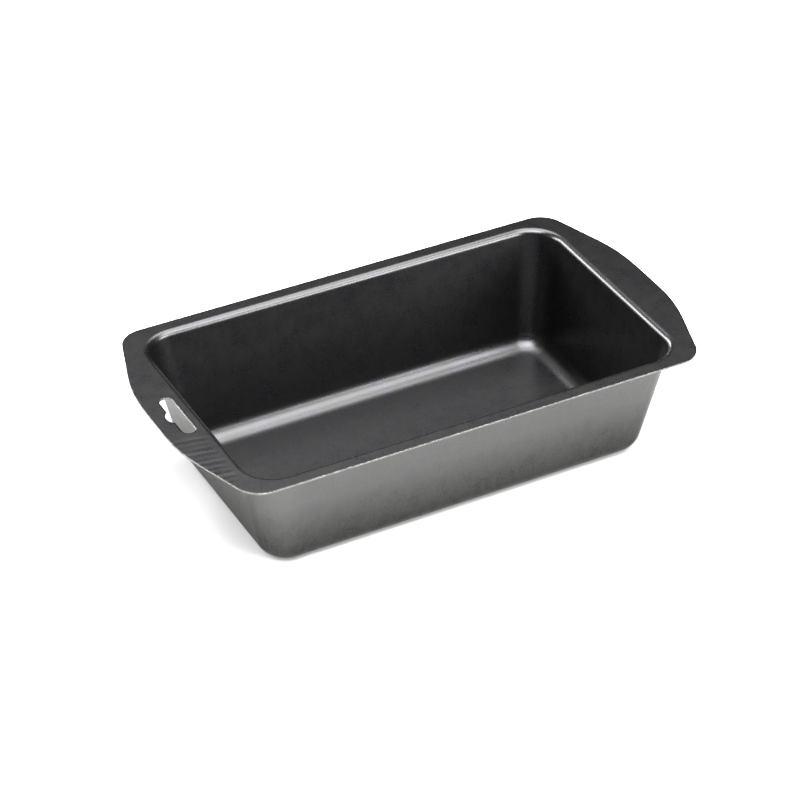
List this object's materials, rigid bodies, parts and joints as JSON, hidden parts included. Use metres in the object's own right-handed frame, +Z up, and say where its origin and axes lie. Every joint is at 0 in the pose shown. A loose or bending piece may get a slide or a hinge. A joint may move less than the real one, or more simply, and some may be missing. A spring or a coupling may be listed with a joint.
{
  "type": "loaf pan",
  "caption": "Rectangular pressed-steel loaf pan with sloping walls, rounded corners, a flat rim that widens into a grip at each end, and a hang slot in one grip.",
  "frame": {"origin": "middle of the underside of the floor, where the pan stands", "axes": "+X along the pan, away from the grip with the hang slot; +Y across it; +Z up, out of the mouth"},
  "size_m": [0.2804, 0.1548, 0.065],
  "materials": {
    "bare_steel": "bare sheared sheet edge",
    "inner_coating": "satin charcoal non-stick film",
    "outer_coating": "satin grey heat-resistant film with a metallic fleck"
  },
  "bodies": {
    "root": {"steel_body": "bare_steel", "inner_nonstick_coating": "inner_coating", "outer_coating": "outer_coating"}
  },
  "joints": []
}
